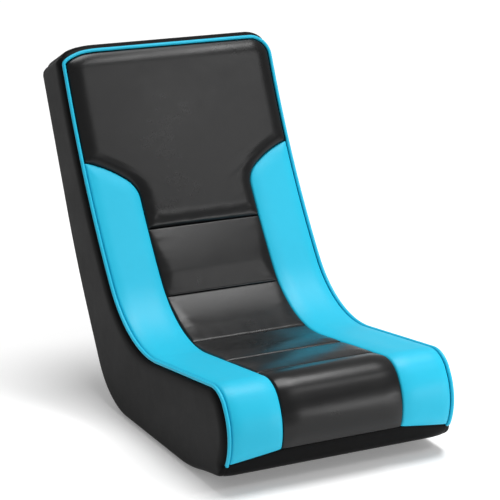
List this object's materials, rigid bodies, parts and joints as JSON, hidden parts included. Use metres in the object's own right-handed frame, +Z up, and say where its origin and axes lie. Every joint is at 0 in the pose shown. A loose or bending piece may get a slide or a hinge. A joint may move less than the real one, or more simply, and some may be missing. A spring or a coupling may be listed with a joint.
{
  "type": "gaming rocker chair",
  "caption": "Low legless floor rocker: one curved padded seat and back with side bolsters, sewn channels and piped edges, on a hidden timber frame.",
  "frame": {"origin": "middle of the flat under the chair that rests on the floor", "axes": "+X across the seat to the sitter's left, -Y the way the sitter faces, +Z up"},
  "size_m": [0.45, 0.8363, 0.6521],
  "materials": {
    "leather_black": "smooth black coated upholstery leather with a fine grain and a soft sheen",
    "leather_blue": "smooth sky blue coated upholstery leather with a fine grain and a soft sheen",
    "dust_cloth": "black non-woven upholstery cloth",
    "foam": "cream open-cell foam",
    "wadding": "white polyester wadding",
    "cord_filler": "soft round filler cord",
    "webbing": "black woven elastic webbing",
    "plywood": "bare plywood",
    "hardboard": "bare brown hardboard",
    "steel": "zinc-plated steel"
  },
  "bodies": {
    "root": {"back_lower_cover": "leather_black", "back_lower_foam": "foam", "back_strap_1": "webbing", "back_strap_2": "webbing", "back_strap_3": "webbing", "back_strap_4": "webbing", "back_upper_cover": "leather_black", "back_upper_foam": "foam", "base_board": "plywood", "base_rail_front": "plywood", "base_rail_rear": "plywood", "base_screws": "steel", "bolster_left_cover": "leather_blue", "bolster_left_foam": "foam", "bolster_right_cover": "leather_blue", "bolster_right_foam": "foam", "core_foam": "foam", "cover_staples": "steel", "frame_staples": "steel", "glue_blocks": "plywood", "head_cover": "leather_black", "head_foam": "foam", "head_rail": "plywood", "lumbar_rail": "plywood", "nose_cover": "leather_black", "nose_foam": "foam", "nose_rail": "plywood", "piping": "leather_blue", "piping_cord": "cord_filler", "rail_screws": "steel", "rear_board": "hardboard", "rear_cover": "leather_black", "rear_wadding": "wadding", "seat_block_foam": "foam", "seat_cloth": "dust_cloth", "seat_front_cover": "leather_black", "seat_front_foam": "foam", "seat_rear_cover": "leather_black", "seat_rear_foam": "foam", "shoulder_rail": "plywood", "side_cover_left": "leather_black", "side_cover_right": "leather_black", "side_frame_left": "plywood", "side_frame_right": "plywood", "side_wadding_left": "wadding", "side_wadding_right": "wadding", "toe_board": "hardboard", "toe_cover": "leather_black", "toe_wadding": "wadding", "top_cover": "leather_black", "top_wadding": "wadding", "under_cover": "dust_cloth"}
  },
  "joints": []
}
